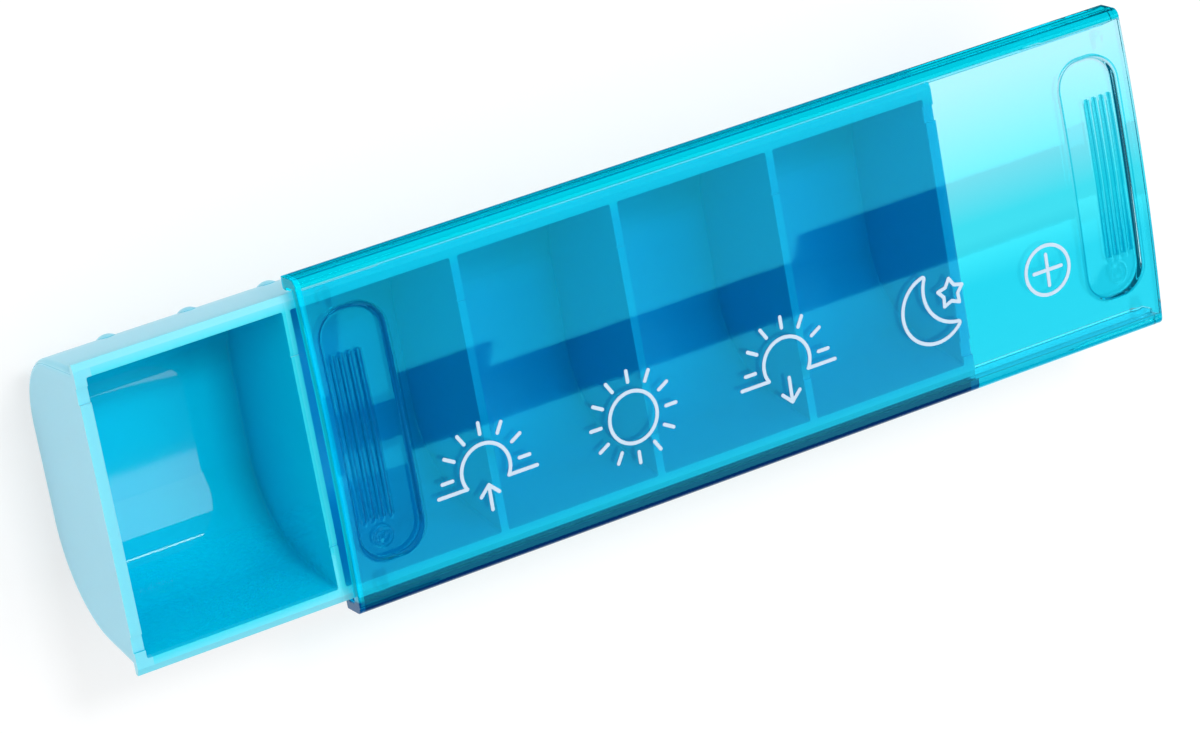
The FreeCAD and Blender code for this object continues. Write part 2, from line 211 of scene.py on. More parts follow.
# tray plastic
trayValues = {
    "paintedShadeDeep": (0.0, 0.52, 0.75),  # painted shade: the plastic drawn deeper inside the compartments
    "paintedShadePale": (0.0, 0.58, 0.79),
    "paintedLitDeep": (0.26, 0.64, 0.79),  # painted light: the same plastic drawn paler on the outside and the rim's top
    "paintedLitPale": (0.31, 0.69, 0.83),
    "endPlace": 0.0559,  # beyond this along the tray are its end faces
    "sideGain": 100,  # turns metres across into a sharp share
    "paintedTopLight": (0.08, 0.90, 1.0),  # painted light on the level tops of the walls and partitions
    "paintedTopShare": 0.40,
    "rimPlace": (0.0547, 0.0168, 0.0180),  # the rim's top lies beyond these along, across and up
    "rimWidth": 0.0018,
    "rimLightShare": 0.6,
    "cloudScale": 60,
    "rippleScale": 140,
    "rippleStrength": 0.006,
    "rippleDepth": 0.0003,
    "markScale": 900,
    "roughness": 0.025,  # polished inside, satin outside
    "outerRoughness": 0.28,
    "innerRoughness": 0.30,  # the compartments beyond the first are duller
    "innerPlace": -0.0305,  # and begin here along the tray
    "roughnessSpread": 0.02,
    "translucency": 0.30,
    "scatterRadius": (0.4, 1.0, 1.2),
    "scatterScale": 0.002,
    "mirrorTint": (0.85, 1.0, 0.9),
    "index": 1.5,
}


# Returns two shares. The skin is 1 where a face looks away from the middle of the tray: both ends, the
# long walls and below, and the rim's top gets the rim's share, growing from its inner edge to the
# outer one; the skin mixes in the paler painted-light colours and the satin roughness. The top is 1 on
# all level tops of the walls and partitions, where painted light is mixed in.
def outerSkin(tree, values):
    place = addNode(tree, "ShaderNodeTexCoord", -1700, 600)
    where = addNode(tree, "ShaderNodeSeparateXYZ", -1500, 700)
    facing = addNode(tree, "ShaderNodeSeparateXYZ", -1500, 500)
    tree.links.new(place.outputs["Object"], where.inputs[0])
    tree.links.new(place.outputs["Normal"], facing.inputs[0])
    far = mathNode(tree, "ABSOLUTE", where.outputs["X"], 0, -1300, 800)
    along, across, up = values["rimPlace"]
    rimEnd = mathNode(tree, "GREATER_THAN", far, along, -1150, 1000)
    rimSide = mathNode(tree, "ABSOLUTE", where.outputs["Y"], 0, -1300, 1000)
    rimSide = mathNode(tree, "SUBTRACT", rimSide, across, -1250, 1100)
    rimSide = mathNode(tree, "DIVIDE", rimSide, values["rimWidth"], -1200, 1100)
    rimSide = mathNode(tree, "MAXIMUM", rimSide, 0, -1150, 1100)
    rim = mathNode(tree, "MAXIMUM", rimEnd, rimSide, -1000, 1050)
    high = mathNode(tree, "GREATER_THAN", where.outputs["Z"], up, -1000, 900)
    top = mathNode(tree, "MULTIPLY", high, facing.outputs["Z"], -850, 900)
    top = mathNode(tree, "MAXIMUM", top, 0, -750, 900)
    # painted light on the rim's top
    rim = mathNode(tree, "MULTIPLY", rim, top, -700, 1000)
    rim = mathNode(tree, "MULTIPLY", rim, values["rimLightShare"], -550, 1000)
    far = mathNode(tree, "GREATER_THAN", far, values["endPlace"], -1150, 800)
    level = mathNode(tree, "ABSOLUTE", facing.outputs["X"], 0, -1300, 650)
    ends = mathNode(tree, "MULTIPLY", far, level, -1000, 750)
    sides = mathNode(tree, "MULTIPLY", where.outputs["Y"], facing.outputs["Y"], -1300, 500)
    sides = mathNode(tree, "MULTIPLY", sides, values["sideGain"], -1150, 500)
    below = mathNode(tree, "MULTIPLY", facing.outputs["Z"], -1, -1300, 350)
    skin = mathNode(tree, "MAXIMUM", sides, below, -1000, 450)
    skin = mathNode(tree, "MAXIMUM", skin, ends, -850, 600)
    skin = mathNode(tree, "MAXIMUM", skin, rim, -775, 600)
    skin = mathNode(tree, "MINIMUM", skin, 1, -700, 600)
    return mathNode(tree, "MAXIMUM", skin, 0, -550, 600), top


def trayPlastic(values):
    material, tree = newMaterial("trayPlastic")
    shader = addNode(tree, "ShaderNodeBsdfPrincipled", 0, 0)
    output = addNode(tree, "ShaderNodeOutputMaterial", 300, 0)
    moulded = placeMoulded(tree, shader, values)
    mottle = moulded.outputs["Mottle"]
    # painted shade and painted light: one plastic drawn deeper inside the compartments, paler outside
    shaded = mixColours(tree, mottle, values["paintedShadeDeep"], values["paintedShadePale"], -500, 300)
    lit = mixColours(tree, mottle, values["paintedLitDeep"], values["paintedLitPale"], -500, 100)
    both = addNode(tree, "ShaderNodeMix", -250, 200, data_type="RGBA")
    skin, top = outerSkin(tree, values)
    # painted light: the level tops drawn paler
    top = mathNode(tree, "MULTIPLY", top, values["paintedTopShare"], -350, 350)
    shaded = mixInto(tree, top, shaded, values["paintedTopLight"], -350, 250)
    tree.links.new(skin, both.inputs["Factor"])
    place = addNode(tree, "ShaderNodeTexCoord", -1100, -500)
    where = addNode(tree, "ShaderNodeSeparateXYZ", -900, -500)
    tree.links.new(place.outputs["Object"], where.inputs[0])
    beyond = mathNode(tree, "GREATER_THAN", where.outputs["X"], values["innerPlace"], -700, -500)
    beyond = mathNode(tree, "MULTIPLY", beyond, values["innerRoughness"], -550, -500)
    satin = mathNode(tree, "MULTIPLY", skin, values["outerRoughness"], -450, -100)
    satin = mathNode(tree, "MAXIMUM", satin, beyond, -350, -100)
    satin = mathNode(tree, "ADD", satin, moulded.outputs["Roughness"], -200, -100)
    tree.links.new(satin, shader.inputs["Roughness"])
    tree.links.new(shaded, both.inputs["A"])
    tree.links.new(lit, both.inputs["B"])
    tree.links.new(both.outputs["Result"], shader.inputs["Base Color"])
    shader.inputs["IOR"].default_value = values["index"]
    shader.inputs["Specular Tint"].default_value = (*values["mirrorTint"], 1)
    shader.inputs["Subsurface Weight"].default_value = values["translucency"]
    shader.inputs["Subsurface Radius"].default_value = values["scatterRadius"]
    shader.inputs["Subsurface Scale"].default_value = values["scatterScale"]
    tree.links.new(shader.outputs[0], output.inputs["Surface"])
    return material


# lid plastic
lidValues = {
    "bodyColour": (0.02, 0.85, 0.90),  # what the plastic lets through, by depth
    "bodyDensity": 150,
    "plateColour": (0.55, 0.84, 0.93),
    "ribShadeColour": (0.02, 0.52, 0.68),  # painted shade on the thumb grips' ribs and outlines, for the dark lines their flanks refract
    "gripPlace": (0.0273, 0.0570),  # the middle between both grips, and half the length they span
    "ribLines": (0.00305, 0.0011, 0.45),  # first edge, pitch and share
    "ribCount": 4,
    "ribReach": (0.0004, 0.0102),  # middle and half length, across the lid
    "gripMiddle": (0.00625, 0.0005),
    "gripCore": (0.00065, 0.0119),  # the outline lies the corner's radius outside this core
    "gripCorner": 0.0035,
    "outlineWidth": 0.00012,
    "railColour": (0.0, 0.66, 0.80),  # the rails look deeper than the plate
    "railPlace": 0.0193,
    "railFade": 0.0003,
    "frontRailShade": (0.0, 0.02, 0.10),  # painted shade, darkest on the front rail where it spans the tray
    "frontRailPlace": 0.0187,
    "frontRailEnd": 0.0565,
    "endColour": (0.0, 0.50, 0.70),
    "endPlace": (0.0277, 0.0564),  # middle of the lid, and where its end faces begin
    "paintedEndGlow": (0.0, 0.60, 0.75),  # painted glow at the lid's ends, standing in for light the plate guides there
    "shadeColour": (0.0, 0.59, 0.78),  # light that passes to the compartments
    "edgeShadeColour": (0.02, 0.74, 0.80),  # and to the tray's rim, which touches the lid
    "edgePlace": 0.0160,
    "edgeFade": 0.0012,
    "endShade": 0.0550,  # the same at both ends, measured from the lid's middle
    "mirrorTint": (0.0, 0.84, 0.84),
    "glow": (0.0, 0.04, 0.065),  # a faint painted glow over the whole lid, for the little that the plastic scatters back
    "paintedFrontRailGlow": (0.0, 0.02, 0.085),  # painted glow, bluer on the painted dark front rail
    "glowStrength": 0.4,
    "cloudScale": 40,
    "rippleScale": 90,
    "rippleStrength": 0.01,
    "rippleDepth": 0.0002,
    "markScale": 1200,
    "roughness": 0.02,
    "roughnessSpread": 0.03,
    "index": 1.57,
}


# 1 on the ribs and the outline of both thumb grips, where painted shade goes. Each end's distance is
# cut into pitches, and a rib fills a share of each. The outline is where the distance to the grip's
# core is its corner radius.
def gripShadeMask(tree, where, values, x, y):
    middle, halfLength = values["gripPlace"]
    first, pitch, share = values["ribLines"]
    inset = mathNode(tree, "SUBTRACT", where.outputs["X"], middle, x, y)
    inset = mathNode(tree, "ABSOLUTE", inset, 0, x + 100, y)
    inset = mathNode(tree, "SUBTRACT", halfLength, inset, x + 200, y)
    number = mathNode(tree, "SUBTRACT", inset, first, x + 300, y)
    number = mathNode(tree, "DIVIDE", number, pitch, x + 400, y)
    stripe = mathNode(tree, "FRACT", number, 0, x + 500, y)
    stripe = mathNode(tree, "LESS_THAN", stripe, share, x + 600, y)
    halfCount = values["ribCount"] / 2
    near = mathNode(tree, "SUBTRACT", number, halfCount, x + 500, y + 100)
    near = mathNode(tree, "ABSOLUTE", near, 0, x + 600, y + 100)
    near = mathNode(tree, "LESS_THAN", near, halfCount, x + 700, y + 100)
    ribMiddle, ribHalf = values["ribReach"]
    within = mathNode(tree, "SUBTRACT", where.outputs["Y"], ribMiddle, x, y + 200)
    within = mathNode(tree, "ABSOLUTE", within, 0, x + 100, y + 200)
    within = mathNode(tree, "LESS_THAN", within, ribHalf, x + 200, y + 200)
    ribs = mathNode(tree, "MULTIPLY", stripe, near, x + 800, y)
    ribs = mathNode(tree, "MULTIPLY", ribs, within, x + 900, y)
    squares = []
    sides = zip((inset, where.outputs["Y"]), values["gripMiddle"], values["gripCore"])
    for value, centre, core in sides:
        reach = mathNode(tree, "SUBTRACT", value, centre, x + 300, y + 300)
        reach = mathNode(tree, "ABSOLUTE", reach, 0, x + 400, y + 300)
        reach = mathNode(tree, "SUBTRACT", reach, core, x + 500, y + 300)
        reach = mathNode(tree, "MAXIMUM", reach, 0, x + 600, y + 300)
        squares.append(mathNode(tree, "MULTIPLY", reach, reach, x + 700, y + 300))
    away = mathNode(tree, "ADD", squares[0], squares[1], x + 800, y + 300)
    away = mathNode(tree, "SQRT", away, 0, x + 900, y + 300)
    away = mathNode(tree, "SUBTRACT", away, values["gripCorner"], x + 1000, y + 300)
    away = mathNode(tree, "ABSOLUTE", away, 0, x + 1100, y + 300)
    outline = mathNode(tree, "LESS_THAN", away, values["outlineWidth"], x + 1200, y + 300)
    return mathNode(tree, "MAXIMUM", ribs, outline, x + 1300, y)


def lidPlastic(values):
    material, tree = newMaterial("lidPlastic")
    shader = addNode(tree, "ShaderNodeBsdfPrincipled", 0, 0)
    output = addNode(tree, "ShaderNodeOutputMaterial", 600, 0)
    placeMoulded(tree, shader, values)
    place = addNode(tree, "ShaderNodeTexCoord", -1100, 600)
    where = addNode(tree, "ShaderNodeSeparateXYZ", -900, 600)
    tree.links.new(place.outputs["Object"], where.inputs[0])
    across = mathNode(tree, "ABSOLUTE", where.outputs["Y"], 0, -750, 600)
    rail = risingFrom(tree, across, values["railPlace"], values["railFade"], -650, 600)
    edge = risingFrom(tree, across, values["edgePlace"], values["edgeFade"], -650, 800)
    gripShade = gripShadeMask(tree, where, values, -2300, 1000)
    # painted shade: ribs and grip outlines drawn a deeper teal
    colour = mixColours(tree, gripShade, values["plateColour"], values["ribShadeColour"], -650, 1000)
    colour = mixInto(tree, rail, colour, values["railColour"], -450, 1000)
    # painted shade on the front rail over the tray
    frontShade = mathNode(tree, "MULTIPLY", where.outputs["Y"], -1, -1000, 1200)
    frontShade = risingFrom(tree, frontShade, values["frontRailPlace"], values["railFade"], -900, 1200)
    overTray = mathNode(tree, "LESS_THAN", where.outputs["X"], values["frontRailEnd"], -750, 1300)
    frontShade = mathNode(tree, "MULTIPLY", frontShade, overTray, -550, 1200)
    colour = mixInto(tree, frontShade, colour, values["frontRailShade"], -350, 1000)
    middle, endStart = values["endPlace"]
    along = mathNode(tree, "SUBTRACT", where.outputs["X"], middle, -750, 1400)
    along = mathNode(tree, "ABSOLUTE", along, 0, -650, 1400)
    end = mathNode(tree, "GREATER_THAN", along, endStart, -550, 1400)
    colour = mixInto(tree, end, colour, values["endColour"], -250, 1000)
    endShade = risingFrom(tree, along, values["endShade"], values["edgeFade"], -450, 1500)
    edge = mathNode(tree, "MAXIMUM", edge, endShade, -350, 800)
    shade = mixColours(tree, edge, values["shadeColour"], values["edgeShadeColour"], -250, 800)
    tree.links.new(colour, shader.inputs["Base Color"])
    shader.inputs["Specular Tint"].default_value = (*values["mirrorTint"], 1)
    shader.inputs["IOR"].default_value = values["index"]
    shader.inputs["Transmission Weight"].default_value = 1
    # painted glow: the lid emits a faint colour, stronger at its ends and bluer on the front rail
    glow = mixColours(tree, end, values["glow"], values["paintedEndGlow"], -250, -500)
    glow = mixInto(tree, frontShade, glow, values["paintedFrontRailGlow"], -150, -500)
    tree.links.new(glow, shader.inputs["Emission Color"])
    shader.inputs["Emission Strength"].default_value = values["glowStrength"]
    clear = addNode(tree, "ShaderNodeBsdfTransparent", 0, 200)
    tree.links.new(shade, clear.inputs["Color"])
    rays = addNode(tree, "ShaderNodeLightPath", 0, 500)
    through = mathNode(
        tree, "MAXIMUM", rays.outputs["Is Shadow Ray"], rays.outputs["Is Diffuse Ray"], 200, 400
    )
    mix = addNode(tree, "ShaderNodeMixShader", 400, 0)
    body = addNode(tree, "ShaderNodeVolumeAbsorption", 300, -300)
    body.inputs["Color"].default_value = (*values["bodyColour"], 1)
    body.inputs["Density"].default_value = values["bodyDensity"]
    tree.links.new(through, mix.inputs["Fac"])
    tree.links.new(shader.outputs[0], mix.inputs[1])
    tree.links.new(clear.outputs[0], mix.inputs[2])
    tree.links.new(mix.outputs[0], output.inputs["Surface"])
    tree.links.new(body.outputs[0], output.inputs["Volume"])
    return material


# printed ink
inkValues = {
    "thinColour": (0.49, 0.63, 0.76),
    "fullColour": (0.57, 0.70, 0.82),
    "grainScale": 900,
    "grainDetail": 4,
    "roughness": 0.55,
    "shine": 0.2,
}


def whiteInk(values):
    material, tree = newMaterial("whiteInk")
    shader = addNode(tree, "ShaderNodeBsdfPrincipled", 0, 0)
    output = addNode(tree, "ShaderNodeOutputMaterial", 300, 0)
    place = addNode(tree, "ShaderNodeTexCoord", -900, 0)
    grain = addNode(tree, "ShaderNodeTexNoise", -700, 0)
    grain.inputs["Scale"].default_value = values["grainScale"]
    grain.inputs["Detail"].default_value = values["grainDetail"]
    tree.links.new(place.outputs["Object"], grain.inputs["Vector"])
    colour = mixColours(tree, grain.outputs["Fac"], values["thinColour"], values["fullColour"])
    tree.links.new(colour, shader.inputs["Base Color"])
    shader.inputs["Roughness"].default_value = values["roughness"]
    shader.inputs["Specular IOR Level"].default_value = values["shine"]
    tree.links.new(shader.outputs[0], output.inputs["Surface"])
    return material


finishes = {
    "tray_plastic": trayPlastic(trayValues),
    "lid_plastic": lidPlastic(lidValues),
    "white_ink": whiteInk(inkValues),
}
for subpart in frame["record"]["subparts"]:
    for slot in nodes[subpart["node"]].material_slots:
        slot.material = finishes[subpart["material_slot"]]
print("finishes", ", ".join(finishes))


# lid
lidShape = {  # mm, in the part's own frame; x is measured from each end for what both ends have
    "halfWidth": 20.5,
    "edgeHeight": 20.15,
    "crownRise": 0.85,
    "plate": 1.3,
    "railWall": 1.25,
    "railHeight": 3.6,
    "lipHalf": 18.3,
    "lipThickness": 1.0,
    "lipLead": 1.2,
    "lipBack": 0.6,
    "outerRound": 1.0,
    "lipRound": 0.3,
    "smallRound": 0.2,
    "endRound": 0.15,
    "endAngles": (25, 50, 70, 90),  # degrees, one ring at each
    "railBreak": 1.0,  # height above the rail's foot where its outer wall gets a row of points
    "acrossStep": 0.42,
    "fineAcross": (10.5, 16.5, 0.15),  # start, stop and step of the finer rows, at the marks
    "edgeSteps": 8,
    "outerSteps": 12,
    "smallSteps": 5,
    "lipSteps": 6,
    "underSteps": 30,
    "fineStep": 0.08,
    "fineReach": 11.2,
    "coarseStep": 3.0,
}
gripShape = {
    "leftShift": -0.7,  # each grip sits a little to the left of its place measured from the end
    "rightShift": -0.15,
    "near": 2.0,
    "far": 10.5,
    "half": 15.5,
    "middle": 0.5,
    "corner": 3.6,
    "nearDepth": 0.70,  # the recess is deepest towards the lid's end
    "farDepth": 0.32,
    "nearRamp": 0.4,  # width of its sloping edges
    "farRamp": 0.5,
    "soft": 0.05,  # how far the recess's edges are rounded over, as a share of the ramp
    "margin": 0.6,  # the crown is plain from this far beyond the recess
    "ribFirst": 3.3,
    "ribPitch": 1.1,
    "ribCount": 4,
    "ribWidth": 0.7,
    "ribFlank": 0.2,
    "ribHeight": 0.12,
    "ribFront": -9.9,
    "ribBack": 10.6,
    "markInset": 5.4,
    "markAcross": -12.1,
    "markRings": ((1.15, 0.14, 0.10), (0.35, 0.25, 0.10)),  # radius, half width and depth
    "bumpInset": 3.3,
    "bumpAcross": 17.4,
    "bumpRadius": 1.0,
    "bumpHeight": 0.12,
}


# rises from 0 to 1 as t does, with both corners rounded: half the gap of two hyperbolas
def softRamp(t, soft):
    return (np.sqrt(t ** 2 + soft ** 2) - np.sqrt((t - 1) ** 2 + soft ** 2) + 1) / 2


# Height over the crown of one thumb grip, inset being the distance from the lid's end. The recess is
# a rounded rectangle's distance field run through a soft ramp. Its ribs are soft ramps of the
# distance to each rib's middle line, and its moulding mark is two soft rings.
def gripRelief(inset, y, values):
    middle = (values["near"] + values["far"]) / 2
    halfLength = (values["far"] - values["near"]) / 2
    qx = np.abs(inset - middle) - (halfLength - values["corner"])
    qy = np.abs(y - values["middle"]) - (values["half"] - values["corner"])
    outside = np.hypot(np.maximum(qx, 0), np.maximum(qy, 0)) + np.minimum(np.maximum(qx, qy), 0)
    inside = values["corner"] - outside
    side = np.clip((inset - middle) / halfLength, 0, 1) ** 2
    ramp = values["nearRamp"] + (values["farRamp"] - values["nearRamp"]) * side
    share = np.clip((inset - values["near"]) / (2 * halfLength), 0, 1)
    depth = values["nearDepth"] + (values["farDepth"] - values["nearDepth"]) * share
    height = -depth * softRamp(inside / ramp, values["soft"])
    alongRib = np.minimum(y - values["ribFront"], values["ribBack"] - y)
    for number in range(values["ribCount"]):
        line = values["ribFirst"] + number * values["ribPitch"]
        within = np.minimum(values["ribWidth"] / 2 - np.abs(inset - line), alongRib)
        height = height + values["ribHeight"] * softRamp(within / values["ribFlank"], values["soft"])
    reach = np.hypot(inset - values["markInset"], y - values["markAcross"])
    for radius, halfWidth, depth in values["markRings"]:
        height = height - depth * np.exp(-(((reach - radius) / halfWidth) ** 2))
    return height


# arc of a section's corner, for every station at once; y may change along the lid
def corner(y, z, radius, start, end, steps, count):
    angles = np.radians(np.linspace(start, end, steps))
    y = np.broadcast_to(np.asarray(y, float), (count,))
    return y[:, None] + radius * np.cos(angles), np.full((count, 1), z) + radius * np.sin(angles)


# places along the lid: fine steps at both thumb grips, coarse ones between
def lidStations(left, right, values):
    reach, fine = values["fineReach"], values["fineStep"]
    near = np.arange(values["endRound"], reach, fine)
    between = np.arange(left + reach, right - reach, values["coarseStep"])
    return np.concatenate([left + near, between, right - near[::-1]])


# Right half of the section at every station, from the crown's middle round to the underside. The
# crown and the underside are arcs about one axis; the rail and the lip are straight runs joined by
# quarter arcs, and the lip draws back where it leads in at the lid's ends.
def halfSection(x, left, right, values):
    half, count = values["halfWidth"], len(x)
    crownRadius = (half ** 2 + values["crownRise"] ** 2) / (2 * values["crownRise"])
    axis = values["edgeHeight"] + values["crownRise"] - crownRadius
    outer, small = values["outerRound"], values["smallRound"]
    inset = np.minimum(x - left, right - x)
    edge = (half - outer) * crownRadius / (crownRadius - outer)
    start, stop, fine = values["fineAcross"]
    top = np.concatenate([
        np.arange(0, start, values["acrossStep"]),
        np.arange(start, stop, fine),
        np.linspace(stop, edge, values["edgeSteps"]),
    ])
    lean = math.degrees(math.asin(edge / crownRadius))
    middle = axis + math.sqrt((crownRadius - outer) ** 2 - (half - outer) ** 2)
    bottom = values["edgeHeight"] - values["railHeight"]
    lipTop = bottom + values["lipThickness"]
    wall = half - values["railWall"]
    lead = np.clip(1 - inset / values["lipLead"], 0, 1)
    lip = values["lipHalf"] + values["lipBack"] * lead
    under = crownRadius - values["plate"]
    ceiling = axis + math.sqrt(under ** 2 - wall ** 2)
    lipRound, lipSteps = values["lipRound"], values["lipSteps"]
    steps = values["smallSteps"]
    arcs = [
        corner(half - outer, middle, outer, 90 - lean, 0, values["outerSteps"], count),
        corner(half, bottom + values["railBreak"], 0, 0, 0, 1, count),
        corner(half - small, bottom + small, small, 0, -90, steps, count),
        corner(lip + lipRound, bottom + lipRound, lipRound, -90, -180, lipSteps, count),
        corner(lip + small, lipTop - small, small, 180, 90, steps, count),
        corner(wall - small, lipTop + small, small, -90, 0, steps, count),
        corner(wall, (lipTop + ceiling) / 2, 0, 0, 0, 1, count),
        corner(wall - small, ceiling - small, small, 0, 90, steps, count),
    ]
    inner = np.linspace(wall - 2 * small, 0, values["underSteps"])
    ys = [np.broadcast_to(top[1:], (count, len(top) - 1))]
    zs = [np.broadcast_to(axis + np.sqrt(crownRadius ** 2 - top[1:] ** 2), ys[0].shape)]
    ys += [arc[0] for arc in arcs] + [np.broadcast_to(inner, (count, len(inner)))]
    zs += [np.broadcast_to(arc[1], arc[0].shape) for arc in arcs]
    zs.append(np.broadcast_to(axis + np.sqrt(under ** 2 - inner ** 2), (count, len(inner))))
    return np.concatenate(ys, axis=1), np.concatenate(zs, axis=1), len(top) - 1, len(inner)


# Closed rings round the lid, one for each station, as an array of points in mm: the half section and
# its mirror image, with the grips' relief added on the crown. Under each corner a click bump hangs
# down, highest in its middle and falling off with the square of the distance.
def lidSurface(left, right, values, grip):
    x = lidStations(left, right, values)
    y, z, topCount, innerCount = halfSection(x, left, right, values)
    crown = np.full((len(x), 1), values["edgeHeight"] + values["crownRise"])
    y = np.concatenate([np.zeros_like(crown), y, -y[:, -2::-1]], axis=1)
    z = np.concatenate([crown, z, z[:, -2::-1]], axis=1)
    onTop = np.zeros(y.shape[1], bool)
    onTop[: topCount + 1] = True
    onTop[-topCount:] = True
    fromLeft = x - left - grip["leftShift"]
    fromRight = right - x + grip["rightShift"]
    inset = np.minimum(fromLeft, fromRight)[:, None]
    relief = gripRelief(inset, y[:, onTop], grip)
    z[:, onTop] += np.where(inset < grip["far"] + grip["margin"], relief, 0)
    middle = y.shape[1] // 2
    below = slice(middle - innerCount + 1, middle + innerCount)
    fromEnd = np.minimum(x - left, right - x)[:, None]
    reach = np.hypot(fromEnd - grip["bumpInset"], np.abs(y[:, below]) - grip["bumpAcross"])
    z[:, below] -= grip["bumpHeight"] * np.clip(1 - (reach / grip["bumpRadius"]) ** 2, 0, None)
    rings = np.stack([np.broadcast_to(x[:, None], y.shape), y, z], axis=-1)
    return np.concatenate([
        roundEnd(rings[0], left, values)[::-1],
        rings,
        roundEnd(rings[-1], right, values),
    ])


# rings from the last one out to the lid's end, drawn in along a quarter circle
def roundEnd(ring, end, values):
    radius = values["endRound"]
    ahead = np.roll(ring, -1, axis=0) - np.roll(ring, 1, axis=0)
    outwards = np.stack([np.zeros(len(ring)), -ahead[:, 2], ahead[:, 1]], axis=-1)
    outwards /= np.maximum(np.linalg.norm(outwards, axis=1, keepdims=True), 1e-9)
    direction = 1 if end > ring[0, 0] else -1
    rings = []
    for angle in np.radians(values["endAngles"]):
        moved = ring - outwards * radius * (1 - math.cos(angle))
        moved[:, 0] = end - direction * radius * (1 - math.sin(angle))
        rings.append(moved)
    return np.array(rings)


# mesh of closed rings joined in order, its two ends shut by flat faces
def tubeMesh(name, rings):
    stations, around, _ = rings.shape
    start = np.arange(stations - 1)[:, None] * around + np.arange(around)[None, :]
    nextOne = np.arange(stations - 1)[:, None] * around + (np.arange(around)[None, :] + 1) % around
    quads = np.stack([start, start + around, nextOne + around, nextOne], axis=-1).reshape(-1, 4)
    last = (stations - 1) * around
    ends = [list(range(around)), list(range(last, last + around))[::-1]]
    mesh = bpy.data.meshes.new(name)
    mesh.from_pydata((rings.reshape(-1, 3) * mm).tolist(), [], quads.tolist() + ends)
    smooth = np.ones(len(quads) + 2, bool)
    smooth[-2:] = False
    mesh.polygons.foreach_set("use_smooth", smooth)
    mesh.update()
    return mesh


def addLid():
    low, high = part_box("lid")
    rings = lidSurface(low.x / mm, high.x / mm, lidShape, gripShape)
    mesh = tubeMesh("clearLid", rings)
    lid = bpy.data.objects.new("clearLid", mesh)
    bpy.context.collection.objects.link(lid)
    mesh.materials.append(finishes["lid_plastic"])
    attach(lid, "lid")
    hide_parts("lid")
    print("lid", len(mesh.polygons), "faces")


addLid()


# floor and background
floorValues = {
    "halfSize": 4.0,  # metres, as all places here
    "colour": (0.96, 0.96, 0.96),
    "background": (1.0, 1.0, 1.0),
    "backgroundShare": 0.65,  # of plain white that the camera sees, the rest being the lit floor
    "underColour": (0.02, 0.66, 0.80),  # the tinted shade that shows through the lid
    "middleColour": (0.12, 0.95, 1.0),  # it pales from the front through this colour to white
    "brightPlace": 0.011,  # white up to here, and the middle colour by the reach further forward
    "brightReach": 0.018,
    "shadePlace": -0.009,  # and the same for the shade
    "shadeReach": 0.006,
    "paintedMirroredShade": (0.0, 0.22, 0.27),  # painted dark reflection: what the lid's back rail mirrors
    "mirroredPlace": 0.020,
    "mirroredReach": 0.004,
}


# Returns the share of plain light for each kind of ray, and its colour. Rays through the lid get the
# shade, which deepens towards the front. What the back rail mirrors gets a painted shade, darker than
# the floor is.
def seenDirectly(tree, values, x, y):
    rays = addNode(tree, "ShaderNodeLightPath", x, y)
    camera = rays.outputs["Is Camera Ray"]
    seen = mathNode(tree, "MULTIPLY", camera, values["backgroundShare"], x + 200, y)
    seen = mathNode(tree, "MAXIMUM", seen, rays.outputs["Is Glossy Ray"], x + 350, y)
    passed = rays.outputs["Is Transmission Ray"]
    seen = mathNode(tree, "MAXIMUM", seen, passed, x + 500, y)
    coordinates = addNode(tree, "ShaderNodeTexCoord", x, y - 400)
    where = addNode(tree, "ShaderNodeSeparateXYZ", x + 150, y - 400)
    tree.links.new(coordinates.outputs["Object"], where.inputs[0])
    forward = mathNode(tree, "SUBTRACT", values["brightPlace"], where.outputs["Y"], x + 300, y - 400)
    tinted = risingFrom(tree, forward, 0, values["brightReach"], x + 400, y - 400)
    tinted = mathNode(tree, "MULTIPLY", tinted, passed, x + 800, y - 400)
    shadeStart = values["brightPlace"] - values["shadePlace"]
    deep = risingFrom(tree, forward, shadeStart, values["shadeReach"], x + 400, y - 550)
    deep = mathNode(tree, "MULTIPLY", deep, passed, x + 800, y - 550)
    colour = mixColours(tree, tinted, values["background"], values["middleColour"], x + 950, y - 400)
    colour = mixInto(tree, deep, colour, values["underColour"], x + 1050, y - 400)
    # a sharp ray through the lid counts as glossy too, so only the rest is mirrored
    mirrored = mathNode(tree, "SUBTRACT", rays.outputs["Is Glossy Ray"], passed, x, y - 700)
    mirrored = mathNode(tree, "MAXIMUM", mirrored, 0, x + 150, y - 700)
    # painted shade in the back rail's reflection of the floor behind the lid
    place, reach = values["mirroredPlace"], values["mirroredReach"]
    behind = risingFrom(tree, where.outputs["Y"], place, reach, x + 300, y - 700)
    mirrored = mathNode(tree, "MULTIPLY", mirrored, behind, x + 800, y - 700)
    colour = mixInto(tree, mirrored, colour, values["paintedMirroredShade"], x + 1150, y - 400)
    return seen, colour


def addFloor(values):
    half = values["halfSize"]
    mesh = bpy.data.meshes.new("floor")
    mesh.from_pydata(
        [(-half, -half, 0), (half, -half, 0), (half, half, 0), (-half, half, 0)],
        [],
        [(0, 1, 2, 3)],
    )
    floor = bpy.data.objects.new("floor", mesh)
    bpy.context.collection.objects.link(floor)
    material, tree = newMaterial("floorWhite")
    matt = addNode(tree, "ShaderNodeBsdfDiffuse", 0, 0)
    matt.inputs["Color"].default_value = (*values["colour"], 1)
    glow = addNode(tree, "ShaderNodeEmission", 0, -200)
    share, colour = seenDirectly(tree, values, -1500, 300)
    tree.links.new(colour, glow.inputs["Color"])
    mix = addNode(tree, "ShaderNodeMixShader", 300, 0)
    output = addNode(tree, "ShaderNodeOutputMaterial", 600, 0)
    tree.links.new(share, mix.inputs["Fac"])
    tree.links.new(matt.outputs[0], mix.inputs[1])
    tree.links.new(glow.outputs[0], mix.inputs[2])
    tree.links.new(mix.outputs[0], output.inputs["Surface"])
    mesh.materials.append(material)


addFloor(floorValues)
print("floor", 2 * floorValues["halfSize"], "m wide")


